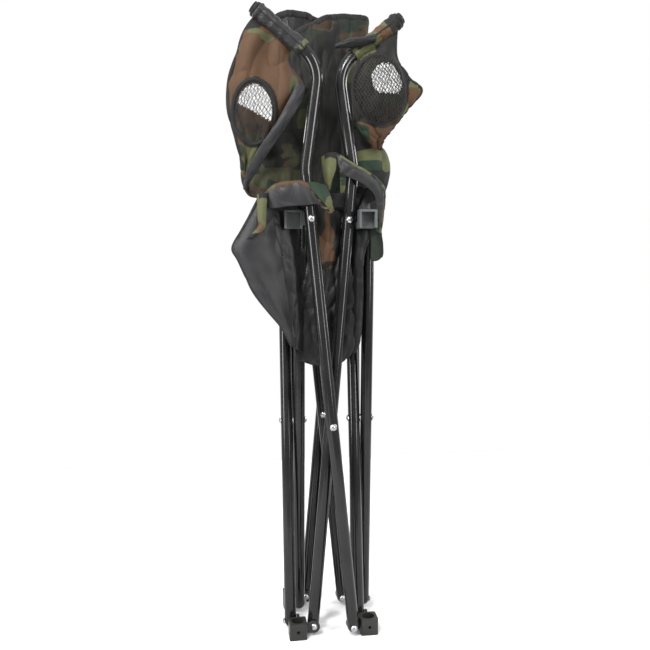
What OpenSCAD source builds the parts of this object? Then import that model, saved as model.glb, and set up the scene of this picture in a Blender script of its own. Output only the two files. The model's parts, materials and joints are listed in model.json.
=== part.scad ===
// Folding quad camp armchair, standing folded on its four feet.
// The front of the chair faces -Y. Four crossed pairs of tubes ring the Z axis,
// one pair on each side, and every side is the front one turned by a quarter turn.

/* [Frame] */
// Distance between the end pivots of each crossed tube
link_length = 650; // [600:5:660]
// Lean of each crossed tube from the vertical when the chair is folded, in degrees
folded_lean = 5.5; // [5.5:0.25:7]
// Outside diameter of every tube
tube_d = 19; // [18:0.5:19]
// Wall thickness of every tube
tube_wall = 1.2; // [1:0.1:2]
// Height of the top of the two back posts
post_top = 1008; // [990:1:1030]
// Free gap between the two tubes of a crossed pair
cross_gap = 1.5; // [1.5:0.1:2]

/* [Corner mouldings] */
// Width of the square block of each foot and hub
block_w = 28; // [27:1:28]
// Distance from a corner's centre to each of its two pivots
pivot_reach = 26; // [26:1:30]
// Height of each foot
foot_h = 26; // [24:1:28]
// Height of the foot pivots above the ground
foot_pivot_z = 15; // [14:1:16]
// Height of each hub
hub_h = 28; // [24:1:30]
// Thickness of the flanges that the tubes are riveted to
flange_t = 4; // [3:0.5:4]
// Diameter of the vertical socket in each foot and rear hub
socket_d = 20; // [20:0.25:21]

/* [Fastenings] */
// Diameter of the rivets
rivet_d = 6; // [5:0.5:7]
// Diameter of the domed rivet heads
head_d = 11; // [10:0.5:12]
// Height of the domed rivet heads
head_h = 3; // [2.5:0.25:3.5]
// Radial clearance of each rivet in its tube
rivet_play = 0.05; // [0.03:0.01:0.08]
// Diameter of the pins that hold the back posts
pin_d = 5; // [4:0.5:5]

/* [Arm supports] */
// Straight run of a front tube above its hub pivot
arm_straight = 66; // [60:1:75]
// Inward bend above that run, in degrees
arm_in_bend = 13.5; // [10:0.5:16]
// Centreline radius of the inward bend
arm_in_radius = 80; // [60:5:90]
// Length between the two bends
arm_riser = 118; // [105:1:125]
// Outward bend into the arm bar, in degrees
arm_out_bend = 59.5; // [56:0.5:62]
// Centreline radius of the outward bend
arm_out_radius = 60; // [50:5:65]
// Straight length of the arm bar
arm_bar = 94; // [90:1:110]

/* [Cloth] */
// Height of the top edge of the folded back panel
back_top = 1016; // [1000:1:1030]
// Height of the bottom edge of the folded back panel
back_bottom = 500; // [480:5:540]
// Thickness of a bundle of folded cloth
bundle_t = 12; // [8:1:13]
// Length that each seat half hangs below its hubs
seat_drop = 150; // [120:5:150]
// Wall of the cloth sleeves round the tubes
sleeve_t = 1.6; // [1:0.2:1.8]
// How far the arm panels reach from the middle of the chair
arm_reach = 160; // [155:1:165]
// Thickness of the arm panels
arm_t = 6; // [4:1:8]
// Inside diameter of the cup openings
cup_d = 84; // [76:1:90]
// Depth of the net pouch under each cup opening
cup_depth = 34; // [25:1:40]

/* [Hidden] */
$fn = 48;
tube_r = tube_d / 2;
bore_r = tube_r - tube_wall;
rivet_r = rivet_d / 2;
cross_plane = -1;
pivot_half = link_length * sin(folded_lean) / 2;
corner = pivot_half + pivot_reach;
hub_z = foot_pivot_z + link_length * cos(folded_lean);
outer_off = cross_plane + cross_gap / 2 + tube_r;
inner_off = cross_plane - cross_gap / 2 - tube_r;
outer_flange = cross_plane - flange_t;
inner_flange = cross_plane;
head_gap = 0.3;
flange_r = 9.5;
flange_low = 9;
flange_high = 7;
socket_floor = 4;
pin_z = 13;
pin_head_r = 4;
pin_head_h = 1.5;
rear_flange_n = inner_off - tube_r - 0.5 - flange_t;
edge_gap = 2;
LIGHT_STEEL = [0.78, 0.79, 0.8];
BLACK_STEEL = [0.07, 0.07, 0.08];
DARK_PLASTIC = [0.16, 0.16, 0.17];
CAMO = [0.3, 0.33, 0.2];
LINING = [0.24, 0.24, 0.25];
PIPING = [0.05, 0.05, 0.05];
NET = [0.08, 0.08, 0.08];

// ---- placing ----

// Turns the front side's geometry to side k: 0 front, 1 right, 2 rear, 3 left.
module on_side(k) { rotate([0, 0, 90 * k]) children(); }

// Puts a corner's geometry at the left end of side k.
module at_corner(k) { on_side(k) translate([-corner, -corner, 0]) children(); }

// A cylinder along Y between two distances outward of a corner's centre plane.
module through(r, n_from, n_to) {
    translate([0, -n_from, 0]) rotate([90, 0, 0]) cylinder(r = r, h = n_to - n_from);
}

// Turns geometry made along a corner's +X flange to its +Y flange.
module other_flange() { mirror([1, 0, 0]) rotate([0, 0, 90]) children(); }

// ---- tubes ----

// The centreline of the S-bent arm support above the hub pivot, leaning out towards +X.
// Each entry is [x, z, heading], with the heading in degrees from +Z towards +X.
arm_overlap = 6;
arm_in_end = [-arm_in_radius * (1 - cos(arm_in_bend)), arm_straight + arm_in_radius * sin(arm_in_bend)];
arm_riser_end = arm_in_end + arm_riser * [-sin(arm_in_bend), cos(arm_in_bend)];
arm_bar_lean = arm_out_bend - arm_in_bend;
function out_bend_point(heading) = arm_riser_end
    + arm_out_radius * [cos(arm_in_bend) - cos(heading), sin(heading) + sin(arm_in_bend)];
arm_bar_start = out_bend_point(arm_bar_lean);
arm_bar_end = arm_bar_start + arm_bar * [sin(arm_bar_lean), cos(arm_bar_lean)];
arm_path = [
    [0, arm_straight - arm_overlap, 0],
    for (turn = [0:2.7:arm_in_bend])
        [-arm_in_radius * (1 - cos(turn)), arm_straight + arm_in_radius * sin(turn), -turn],
    for (turn = [0:3.5:arm_out_bend])
        let (at = out_bend_point(turn - arm_in_bend)) [at[0], at[1], turn - arm_in_bend],
    [arm_bar_end[0], arm_bar_end[1], arm_bar_lean]];

// The hollow arm support, swept along its centreline.
module arm_support() {
    sides = 32;
    rings = len(arm_path);
    skin = 0.02;
    radii = [tube_r - skin, (bore_r + skin) / cos(180 / sides)];
    points = [for (r = radii, at = arm_path, j = [0:sides - 1])
        let (a = 360 * j / sides)
            [at[0] + r * cos(a) * cos(at[2]), r * sin(a), at[1] - r * cos(a) * sin(at[2])]];
    walls = [for (i = [0:rings - 2], j = [0:sides - 1]) let (k = (j + 1) % sides)
        [i * sides + j, (i + 1) * sides + j, (i + 1) * sides + k, i * sides + k]];
    inner = rings * sides;
    bore_walls = [for (w = walls) [w[3] + inner, w[2] + inner, w[1] + inner, w[0] + inner]];
    mouths = [for (j = [0:sides - 1]) let (k = (j + 1) % sides, top = (rings - 1) * sides)
        each [[j, k, inner + k, inner + j],
              [top + k, top + j, inner + top + j, inner + top + k]]];
    polyhedron(points, concat(walls, bore_walls, mouths));
}

// Carries children to the start of the arm bar, with +Z along the bar.
module to_arm_bar() {
    translate([arm_bar_start[0], 0, arm_bar_start[1]]) rotate([0, arm_bar_lean, 0]) children();
}

// Places a link's own frame: its foot pivot at the origin and +Z along the tube.
// +X is the side that the tube leans towards.
module link_frame(outer) {
    translate([outer ? pivot_half : -pivot_half, -corner - (outer ? outer_off : inner_off), foot_pivot_z])
        rotate([0, outer ? -folded_lean : folded_lean, 0])
            mirror([outer ? 1 : 0, 0, 0]) children();
}

// One crossed tube, with rounded pivot ends, three rivet holes and perhaps an arm support.
module link(outer, arm = false) {
    straight = link_length + (arm ? arm_straight : 0);
    color(BLACK_STEEL) link_frame(outer) {
        difference() {
            union() {
                cylinder(r = tube_r, h = straight);
                sphere(tube_r);
                if (!arm) translate([0, 0, straight]) sphere(tube_r);
            }
            cylinder(r = bore_r, h = straight + (arm ? 1 : 0));
            for (u = [0, link_length / 2, link_length])
                translate([0, 0, u]) through(rivet_r + rivet_play, -tube_d, tube_d);
        }
        if (arm) translate([0, 0, link_length]) arm_support();
    }
}

// Plastic plug in the open end of an arm bar.
module arm_plug(outer) {
    color(DARK_PLASTIC) link_frame(outer) translate([0, 0, link_length]) to_arm_bar()
        translate([0, 0, arm_bar]) {
            translate([0, 0, -12]) cylinder(r = bore_r - 0.1, h = 12);
            cylinder(r = tube_r, h = 3);
        }
}

// Cloth sleeve round an arm bar.
module bar_sleeve(outer) {
    color(LINING) link_frame(outer) translate([0, 0, link_length]) to_arm_bar()
        difference() {
            translate([0, 0, 2]) cylinder(r = tube_r + head_gap + sleeve_t, h = arm_bar - 4);
            translate([0, 0, -1]) cylinder(r = tube_r + head_gap, h = arm_bar + 2);
        }
}

// ---- rivets ----

// A domed head that rises outward from distance n.
module head(n, outward) {
    dome_r = (head_d * head_d / 4 + head_h * head_h) / (2 * head_h);
    translate([0, -n, 0]) rotate([outward ? 90 : -90, 0, 0]) intersection() {
        translate([0, 0, head_h - dome_r]) sphere(dome_r);
        cylinder(d = head_d + 2, h = head_h);
    }
}

// A rivet along Y whose heads sit at the two distances.
module rivet(n_from, n_to) {
    through(rivet_r, n_from - 0.2, n_to + 0.2);
    head(n_to, true);
    head(n_from, false);
}

outer_front = outer_off + tube_r + head_gap;
inner_back = inner_off - tube_r - head_gap;

// The rivet of an outer tube, which stands in front of its flange.
module outer_rivet() { rivet(outer_flange - 0.05, outer_front); }

// The rivet of an inner tube, which stands behind its flange.
module inner_rivet() { rivet(inner_back, inner_flange + flange_t + 0.05); }

// The rivet through both tubes of a side.
module cross_rivet(k) {
    color(LIGHT_STEEL) on_side(k) translate([0, -corner, (foot_pivot_z + hub_z) / 2])
        rivet(inner_back, outer_front);
}

// The washer between both tubes of a side.
module cross_washer(k) {
    washer_t = cross_gap - 2 * head_gap;
    color(LIGHT_STEEL) on_side(k) translate([0, -corner, (foot_pivot_z + hub_z) / 2])
        difference() {
            through(head_d / 2 + 1, cross_plane - washer_t / 2, cross_plane + washer_t / 2);
            through(rivet_r + rivet_play, cross_plane - 2, cross_plane + 2);
        }
}

// Both rivets of a foot.
module foot_rivets(k) {
    color(LIGHT_STEEL) at_corner(k) translate([0, 0, foot_pivot_z]) {
        translate([pivot_reach, 0, 0]) inner_rivet();
        other_flange() translate([pivot_reach, 0, 0]) outer_rivet();
    }
}

// Both rivets of a hub. The front right hub holds its inner tube from behind.
module hub_rivets(k) {
    color(LIGHT_STEEL) at_corner(k) translate([0, 0, hub_z]) {
        translate([pivot_reach, 0, 0]) outer_rivet();
        other_flange() translate([pivot_reach, 0, 0])
            if (k == 1) rivet(rear_flange_n - 0.05, inner_off + tube_r + head_gap);
            else inner_rivet();
    }
}

// ---- corner mouldings ----

// A flange along +X whose plate lies between n and n + flange_t, round its pivot.
module flange(n, from, z, low, high) {
    difference() {
        union() {
            translate([from, -n - flange_t, z - low])
                cube([pivot_reach - from, flange_t, low + high]);
            translate([pivot_reach, 0, z]) through(flange_r, n, n + flange_t);
        }
        translate([pivot_reach, 0, z]) through(rivet_r + rivet_play, n - 1, n + flange_t + 1);
    }
}

// A square block with rounded upright edges.
module block(w, d, h) {
    edge_r = 3;
    linear_extrude(h) union() {
        translate([-w / 2 + edge_r, -d / 2]) square([w - 2 * edge_r, d]);
        translate([-w / 2, -d / 2 + edge_r]) square([w, d - 2 * edge_r]);
        for (x = [-1, 1], y = [-1, 1])
            translate([x * (w / 2 - edge_r), y * (d / 2 - edge_r)]) circle(edge_r);
    }
}

// One foot: a block with a socket, a cross hole and two flanges.
module foot(k) {
    color(DARK_PLASTIC) at_corner(k) difference() {
        union() {
            block(block_w, block_w, foot_h);
            flange(inner_flange, block_w / 2 - 2, foot_pivot_z, flange_low, flange_high);
            other_flange() flange(outer_flange, block_w / 2 - 2, foot_pivot_z, flange_low, flange_high);
        }
        translate([0, 0, socket_floor]) cylinder(d = socket_d, h = foot_h);
        translate([0, 0, pin_z]) rotate([0, 0, -90 * k])
            through(pin_d / 2 + 0.1, -block_w, block_w);
    }
}

// A rear hub: a block that slides on its post, with two flanges.
module rear_hub(k) {
    color(DARK_PLASTIC) at_corner(k) difference() {
        union() {
            translate([0, 0, hub_z - hub_h / 2]) block(block_w, block_w, hub_h);
            flange(outer_flange, block_w / 2 - 2, hub_z, flange_low, flange_high);
            other_flange() flange(inner_flange, block_w / 2 - 2, hub_z, flange_low, flange_high);
        }
        translate([0, 0, hub_z - hub_h]) cylinder(d = socket_d, h = 2 * hub_h);
    }
}

// A front hub's open-fronted channel, open towards -Y, with its front at y = 0.
module channel(depth) {
    wall = 3.5;
    difference() {
        translate([-block_w / 2, 0, -hub_h / 2]) cube([block_w, depth, hub_h]);
        translate([-block_w / 2 + wall, -1, -hub_h / 2 - 1])
            cube([block_w - 2 * wall, depth - wall + 1, hub_h - wall + 1]);
    }
}

// The front left hub stands behind its outer tube, which passes in front of it.
module hub_front_left() {
    color(DARK_PLASTIC) at_corner(0) {
        translate([0, -cross_plane, hub_z]) channel(cross_plane + block_w / 2);
        flange(outer_flange, block_w / 2 - 1, hub_z, flange_low, flange_high);
        other_flange() flange(inner_flange, block_w / 2 - 2, hub_z, flange_low, flange_high);
    }
}

// The front right hub stands in front of its inner tube, and holds it from behind
// by a low web and a rear flange, so that the tube can lean over the web.
module hub_front_right() {
    depth = 20;
    web_top = -3;
    color(DARK_PLASTIC) at_corner(1) {
        translate([-cross_plane - depth, 0, hub_z]) rotate([0, 0, -90]) channel(depth);
        flange(outer_flange, -cross_plane - 1, hub_z, flange_low, flange_high);
        translate([-cross_plane - 1, 8, hub_z - hub_h / 2])
            cube([cross_plane + 1 - rear_flange_n, 6, hub_h / 2 + web_top]);
        other_flange() flange(rear_flange_n, 9, hub_z, flange_low, flange_high);
    }
}

// ---- back posts ----

// Carries children to a back post: side is -1 for the left one and 1 for the right one.
module at_post(side) { translate([side * corner, corner, 0]) children(); }

// A back post, closed by a cap and pinned in its foot.
module post(side) {
    color(BLACK_STEEL) at_post(side) difference() {
        translate([0, 0, socket_floor + 0.3]) cylinder(r = tube_r, h = post_top - socket_floor - 0.3);
        cylinder(r = bore_r, h = post_top + 1);
        translate([0, 0, pin_z]) through(pin_d / 2 + 0.1, -tube_d, tube_d);
    }
}

module post_cap(side) {
    color(DARK_PLASTIC) at_post(side) translate([0, 0, post_top]) {
        translate([0, 0, -14]) cylinder(r = bore_r - 0.1, h = 14);
        cylinder(r = tube_r, h = 3);
    }
}

module post_pin(side) {
    color(LIGHT_STEEL) at_post(side) translate([0, 0, pin_z]) {
        through(pin_d / 2, -block_w / 2, block_w / 2);
        through(pin_head_r, -block_w / 2 - pin_head_h, -block_w / 2);
    }
}

// The back panel's sleeve round a post.
module back_sleeve(side) {
    color(CAMO) at_post(side) difference() {
        translate([0, 0, 700]) cylinder(r = tube_r + head_gap + sleeve_t, h = post_top - 706);
        translate([0, 0, 690]) cylinder(r = tube_r + head_gap, h = post_top);
    }
}

// ---- cloth bundles ----

back_x = corner - tube_r - sleeve_t - 4;
seat_side_gap = 4.9;
seat_x = corner + inner_off - tube_r - seat_side_gap;
edge_w = 12;
back_step = 700;
back_low_y = 25.5;
back_low_t = 7;

// A bundle of folded cloth from x_from to x_to, bundle_t thick towards +Y.
module bundle(x_from, x_to, y_from, z_from, z_to) {
    translate([x_from, y_from, z_from]) cube([x_to - x_from, bundle_t, z_to - z_from]);
}

// The back panel between the posts, stepped forward below the rear hubs' height.
module back_panel() {
    right = seat_x - edge_w - edge_gap;
    color(CAMO) {
        bundle(-back_x, right, corner - bundle_t, back_step, back_top);
        translate([-seat_x, back_low_y, back_step - bundle_t])
            cube([right + seat_x, corner - back_low_y, bundle_t]);
        translate([-seat_x, back_low_y, back_bottom])
            cube([right + seat_x, back_low_t, back_step - bundle_t - back_bottom]);
    }
}

// The right hem of the back panel, which follows the right post.
module back_edge() {
    color(PIPING) bundle(seat_x - edge_w, seat_x, corner - bundle_t, back_step, back_top);
}

seat_top = hub_z + 10;
seat_front_y = -corner + 30;
layer_gap = 1.5;
seat_rear_y = back_low_y - layer_gap - bundle_t;

// The front half of the seat, hanging from the front hubs.
module seat_front() {
    color(LINING) bundle(-seat_x, seat_x - edge_w - edge_gap, seat_front_y, seat_top - seat_drop, seat_top);
}

module seat_front_edge() {
    color(PIPING) bundle(seat_x - edge_w, seat_x, seat_front_y, seat_top - seat_drop, seat_top);
}

// The rear half of the seat, hanging from the rear hubs.
module seat_rear() {
    color(CAMO) bundle(-seat_x, seat_x - edge_w - edge_gap, seat_rear_y, seat_top - seat_drop, seat_top);
}

module seat_rear_edge() {
    color(PIPING) bundle(seat_x - edge_w, seat_x, seat_rear_y, seat_top - seat_drop, seat_top);
}

// ---- arms ----

// Turn of each arm panel about the vertical, its cup centre, and half of its height.
net_t = 2;
arm_turn = [-38, 12];
left_arm_x = (cup_d / 2 + net_t) * cos(arm_turn[0]) - cup_depth * sin(arm_turn[0]) - arm_reach;
arm_centre = [[left_arm_x, -10, 850], [96, -8, 854]];
arm_half_h = 62;
arm_inner_w = 46;

// Carries children to an arm's cup centre, with -Y out of the underside.
module at_arm(i) { translate(arm_centre[i]) rotate([0, 0, arm_turn[i]]) children(); }

// Half width on the outer side that makes the panel reach arm_reach.
function arm_outer_w(i) =
    (arm_reach - abs(arm_centre[i][0]) - arm_t / 2 * abs(sin(arm_turn[i]))) / cos(arm_turn[i]);

module arm_panel(i) {
    side = i == 0 ? -1 : 1;
    low = side < 0 ? -arm_outer_w(i) : -arm_inner_w;
    high = side < 0 ? arm_inner_w : arm_outer_w(i);
    color(CAMO) at_arm(i) difference() {
        translate([low, -arm_t / 2, -arm_half_h]) cube([high - low, arm_t, 2 * arm_half_h]);
        through(cup_d / 2 + 2.5, -arm_t, arm_t);
    }
}

// The bound rim of a cup opening.
module cup_rim(i) {
    color(PIPING) at_arm(i) difference() {
        through(cup_d / 2 + 2.2, -arm_t / 2, arm_t / 2);
        through(cup_d / 2, -arm_t, arm_t);
    }
}

// The net pouch under a cup opening, closed at its bottom.
module cup_net(i) {
    color(NET) at_arm(i) difference() {
        through(cup_d / 2 + net_t, arm_t / 2 + 0.2, cup_depth);
        through(cup_d / 2, 0, cup_depth - net_t);
    }
}

// The strap that ties an arm panel to its back post.
module arm_strap(side) {
    color(CAMO) hull() {
        translate([side * 84, 36, 730]) sphere(5, $fn = 24);
        translate([side * 98, 24, 765]) sphere(5, $fn = 24);
    }
}

// ---- assembly ----

foot(0);  // foot_front_left
foot(1);  // foot_front_right
foot(2);  // foot_rear_right
foot(3);  // foot_rear_left
hub_front_left();
hub_front_right();
rear_hub(2);  // hub_rear_right
rear_hub(3);  // hub_rear_left
on_side(0) link(true, arm = true);  // tube_front_outer
on_side(0) link(false, arm = true);  // tube_front_inner
on_side(1) link(true);  // tube_right_outer
on_side(1) link(false);  // tube_right_inner
on_side(2) link(true);  // tube_rear_outer
on_side(2) link(false);  // tube_rear_inner
on_side(3) link(true);  // tube_left_outer
on_side(3) link(false);  // tube_left_inner
post(-1);  // post_left
post(1);  // post_right
post_cap(-1);  // post_cap_left
post_cap(1);  // post_cap_right
post_pin(-1);  // post_pin_left
post_pin(1);  // post_pin_right
arm_plug(true);  // arm_plug_left
arm_plug(false);  // arm_plug_right
cross_rivet(0);  // rivet_front_cross
cross_rivet(1);  // rivet_right_cross
cross_rivet(2);  // rivet_rear_cross
cross_rivet(3);  // rivet_left_cross
cross_washer(0);  // washer_front_cross
cross_washer(1);  // washer_right_cross
cross_washer(2);  // washer_rear_cross
cross_washer(3);  // washer_left_cross
foot_rivets(0);  // rivets_foot_front_left
foot_rivets(1);  // rivets_foot_front_right
foot_rivets(2);  // rivets_foot_rear_right
foot_rivets(3);  // rivets_foot_rear_left
hub_rivets(0);  // rivets_hub_front_left
hub_rivets(1);  // rivets_hub_front_right
hub_rivets(2);  // rivets_hub_rear_right
hub_rivets(3);  // rivets_hub_rear_left
back_panel();
back_edge();
back_sleeve(-1);  // back_sleeve_left
back_sleeve(1);  // back_sleeve_right
seat_front();
seat_front_edge();
seat_rear();
seat_rear_edge();
arm_strap(-1);  // arm_strap_left
arm_panel(0);  // arm_panel_left
cup_rim(0);  // cup_rim_left
cup_net(0);  // cup_net_left
arm_strap(1);  // arm_strap_right
arm_panel(1);  // arm_panel_right
cup_rim(1);  // cup_rim_right
cup_net(1);  // cup_net_right
bar_sleeve(true);  // bar_sleeve_left
bar_sleeve(false);  // bar_sleeve_right
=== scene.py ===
"""A folded quad camp armchair: black tubes, dark mouldings, woodland cloth with a grey underside, and net cups.

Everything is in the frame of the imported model: the chair's front faces -Y, and left is -X. Control points and spots
are in millimetres, and all other lengths are in metres.
"""
import json
import math

import bpy
import numpy as np
from mathutils import Matrix, Vector, noise


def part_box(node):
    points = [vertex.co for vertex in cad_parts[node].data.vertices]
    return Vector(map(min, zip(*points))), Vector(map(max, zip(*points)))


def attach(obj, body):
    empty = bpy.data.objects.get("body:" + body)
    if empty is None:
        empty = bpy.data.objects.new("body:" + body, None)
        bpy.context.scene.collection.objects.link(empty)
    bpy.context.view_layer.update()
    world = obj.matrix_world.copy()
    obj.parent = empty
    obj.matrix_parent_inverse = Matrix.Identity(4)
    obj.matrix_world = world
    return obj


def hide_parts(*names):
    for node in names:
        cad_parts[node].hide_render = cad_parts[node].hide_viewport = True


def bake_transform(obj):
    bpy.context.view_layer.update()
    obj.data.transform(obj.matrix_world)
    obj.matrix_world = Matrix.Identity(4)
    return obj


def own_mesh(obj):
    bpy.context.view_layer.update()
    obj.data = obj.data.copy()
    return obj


MM = 0.001
TURN = 2 * math.pi
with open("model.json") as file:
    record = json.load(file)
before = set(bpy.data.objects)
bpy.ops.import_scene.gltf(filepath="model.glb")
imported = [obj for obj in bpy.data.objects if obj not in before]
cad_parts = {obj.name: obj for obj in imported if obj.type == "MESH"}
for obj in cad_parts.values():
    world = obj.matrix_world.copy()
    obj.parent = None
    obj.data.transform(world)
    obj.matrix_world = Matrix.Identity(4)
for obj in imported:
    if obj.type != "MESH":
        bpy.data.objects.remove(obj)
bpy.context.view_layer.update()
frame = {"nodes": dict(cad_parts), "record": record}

# ---- places taken from the frame ----


def box(node):
    low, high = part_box(node)
    return np.array(low, float), np.array(high, float)


def middle(node):
    low, high = box(node)
    return (low + high) / 2


BACK_LOW, BACK_TOP = (corner[2] / MM for corner in box("back_panel"))
WELL = box("seat_front")[0][0] / -MM  # half the width of the space inside the folded frame

# ---- materials ----


def new_material(name):
    material = bpy.data.materials.new(name)
    material.use_nodes = True
    tree = material.node_tree
    return material, tree, tree.nodes["Principled BSDF"]


def feed(tree, socket, value):
    """Links a socket to an input, or sets the input to a plain value."""
    if isinstance(value, bpy.types.NodeSocket):
        tree.links.new(value, socket)
    else:
        socket.default_value = value


def add(tree, kind, **inputs):
    """Adds a node and feeds its named inputs."""
    node = tree.nodes.new("ShaderNode" + kind)
    for key, value in inputs.items():
        feed(tree, node.inputs[key.replace("_", " ")], value)
    return node


def calculate(tree, operation, *values):
    node = add(tree, "Math")
    node.operation = operation
    for socket, value in zip(node.inputs, values):
        feed(tree, socket, value)
    return node.outputs[0]


def ramp(tree, factor, stops):
    """A ramp between two (position, grey) stops."""
    node = add(tree, "ValToRGB", Fac=factor)
    for element, (position, grey) in zip(node.color_ramp.elements, stops):
        element.position = position
        element.color = (grey, grey, grey, 1)
    return node.outputs["Color"]


def mix(tree, factor, a, b):
    """Mixes two colours. A Mix node holds its colours in inputs 6 and 7 and gives them in output 2."""
    node = add(tree, "Mix")
    node.data_type = "RGBA"
    for index, value in ((0, factor), (6, a), (7, b)):
        feed(tree, node.inputs[index], value)
    return node.outputs[2]


def bump(tree, shader, *layers):
    """Chains (height, strength, distance) layers into the shader's normal."""
    normal = None
    for height, strength, distance in layers:
        node = add(tree, "Bump", Height=height, Strength=strength, Distance=distance)
        if normal is not None:
            tree.links.new(normal, node.inputs["Normal"])
        normal = node.outputs["Normal"]
    tree.links.new(normal, shader.inputs["Normal"])


def weave(tree, uv, pitch):
    """Two crossed thread waves, as one height. A wave texture of scale 0.31 repeats about once in a metre."""
    heights = []
    for direction in ("X", "Y"):
        wave = add(tree, "TexWave", Vector=uv, Scale=0.31 / pitch, Distortion=0.6, Detail=1.0)
        wave.wave_type = "BANDS"
        wave.bands_direction = direction
        heights.append(wave.outputs["Fac"])
    return calculate(tree, "MULTIPLY", *heights)


def cloth_coordinates(tree):
    return add(tree, "UVMap").outputs["UV"]


def set_cloth(shader, roughness):
    shader.inputs["Roughness"].default_value = roughness
    shader.inputs["Sheen Weight"].default_value = 0.03
    shader.inputs["Sheen Roughness"].default_value = 0.4
    shader.inputs["Specular IOR Level"].default_value = 0.2


SPOT_WEIGHT = 0.26  # how far a spot moves the noise that draws the blotches
BLOTCH_EDGE = 0.012
CAMO_COLOURS = {"base": (0.060, 0.064, 0.025), "brown": (0.064, 0.030, 0.012),
                "green": (0.007, 0.020, 0.010), "black": (0.0035, 0.0035, 0.0035)}


def pushed(tree, factor, colour):
    """A blotch factor, raised or lowered where the cloth has a spot of a chosen colour."""
    spot = add(tree, "Attribute")
    spot.attribute_name = f"push_{colour}"
    return calculate(tree, "MULTIPLY_ADD", spot.outputs["Fac"], SPOT_WEIGHT, factor)


def camo_cloth(name, shade=1.0, seed=0.0, brown=0.53, green=0.535, black=0.575):
    """Printed woodland cloth: blotches of brown, dark green and black over olive, with a woven face.

    brown, green and black are the noise levels at which each blotch begins, so a higher level gives smaller blotches.
    """
    material, tree, shader = new_material(name)
    uv = cloth_coordinates(tree)
    place = add(tree, "Mapping", Vector=uv, Location=(seed, seed * 0.7, 0), Scale=(1, 1.25, 1)).outputs[0]
    tint = {key: (*[c * shade for c in value], 1) for key, value in CAMO_COLOURS.items()}
    colour = tint["base"]
    for key, scale, shift, low in (("brown", 8.5, 0.0, brown), ("green", 9.5, 5.1, green),
                                   ("black", 11.0, 9.3, black)):
        moved = add(tree, "Mapping", Vector=place, Location=(shift, -shift, 0)).outputs[0]
        blotch = add(tree, "TexNoise", Vector=moved, Scale=scale, Detail=2.5, Roughness=0.55, Distortion=0.9)
        edge = ramp(tree, pushed(tree, blotch.outputs["Fac"], key), [(low, 0.0), (low + BLOTCH_EDGE, 1.0)])
        colour = mix(tree, edge, colour, tint[key])
    fade = add(tree, "TexNoise", Vector=uv, Scale=30.0, Detail=4.0).outputs["Fac"]
    worn = mix(tree, ramp(tree, fade, [(0.35, 0.0), (0.8, 0.07)]), colour, (0.16, 0.15, 0.12, 1))
    woven = weave(tree, uv, pitch=0.0009)
    tree.links.new(mix(tree, ramp(tree, woven, [(0.0, 0.22), (0.7, 0.0)]), worn, (0.01, 0.01, 0.01, 1)),
                   shader.inputs["Base Color"])
    set_cloth(shader, roughness=0.72)
    rumple = add(tree, "TexNoise", Vector=uv, Scale=55.0).outputs["Fac"]
    bump(tree, shader, (woven, 0.35, 0.0003), (rumple, 0.25, 0.002))
    return material


def plain_cloth(name, colour, roughness, pitch=0.0012):
    """One-colour coated cloth with a fine weave, faint scuffs and soft creases."""
    material, tree, shader = new_material(name)
    uv = cloth_coordinates(tree)
    scuff = add(tree, "TexNoise", Vector=uv, Scale=26.0, Detail=5.0, Distortion=0.4).outputs["Fac"]
    lighter = tuple(min(c * 1.7 + 0.004, 1) for c in colour)
    tree.links.new(mix(tree, ramp(tree, scuff, [(0.4, 0.0), (0.8, 0.8)]), (*colour, 1), (*lighter, 1)),
                   shader.inputs["Base Color"])
    set_cloth(shader, roughness)
    tree.links.new(ramp(tree, scuff, [(0.2, roughness - 0.1), (0.8, roughness + 0.12)]), shader.inputs["Roughness"])
    bump(tree, shader, (weave(tree, uv, pitch), 0.3, 0.0003), (scuff, 0.3, 0.0025))
    return material


def hard_surface(name, colour, metallic, roughness, grain, depth):
    """Paint, plastic or metal with uneven gloss and a fine grain of the given scale and depth."""
    material, tree, shader = new_material(name)
    place = add(tree, "TexCoord").outputs["Object"]
    fine = add(tree, "TexNoise", Vector=place, Scale=grain, Detail=3.0).outputs["Fac"]
    broad = add(tree, "TexNoise", Vector=place, Scale=18.0, Detail=5.0, Distortion=0.5).outputs["Fac"]
    lighter = tuple(min(c * 1.5 + 0.004, 1) for c in colour)
    tree.links.new(mix(tree, ramp(tree, broad, [(0.4, 0.0), (0.85, 1.0)]), (*colour, 1), (*lighter, 1)),
                   shader.inputs["Base Color"])
    shader.inputs["Metallic"].default_value = metallic
    tree.links.new(ramp(tree, broad, [(0.25, roughness * 0.9), (0.8, roughness * 1.2)]), shader.inputs["Roughness"])
    shader.inputs["Specular IOR Level"].default_value = 0.5 if metallic else 0.3
    bump(tree, shader, (fine, 0.25, depth))
    return material


CAMO = camo_cloth("woodland_cloth")
CAMO_BROWN = camo_cloth("woodland_cloth_brown", shade=0.85, seed=1.6, brown=0.36, green=0.62, black=0.68)
# A copy of the print, darkened and with more black: painted shade, for cloth in the back's middle, in the left fold and
# beside and between the tubes.
CAMO_PAINTED_SHADE = camo_cloth("woodland_cloth_painted_shade", shade=0.38, seed=3.0, brown=0.52, green=0.50, black=0.47)
# The darkest copy of the print: painted shade on the cloth behind the nets.
CAMO_SHADE = camo_cloth("woodland_cloth_shade", shade=0.2, seed=4.4, brown=0.54, green=0.50, black=0.50)
LINING = plain_cloth("grey_underside", (0.012, 0.012, 0.0128), roughness=0.42)
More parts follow.
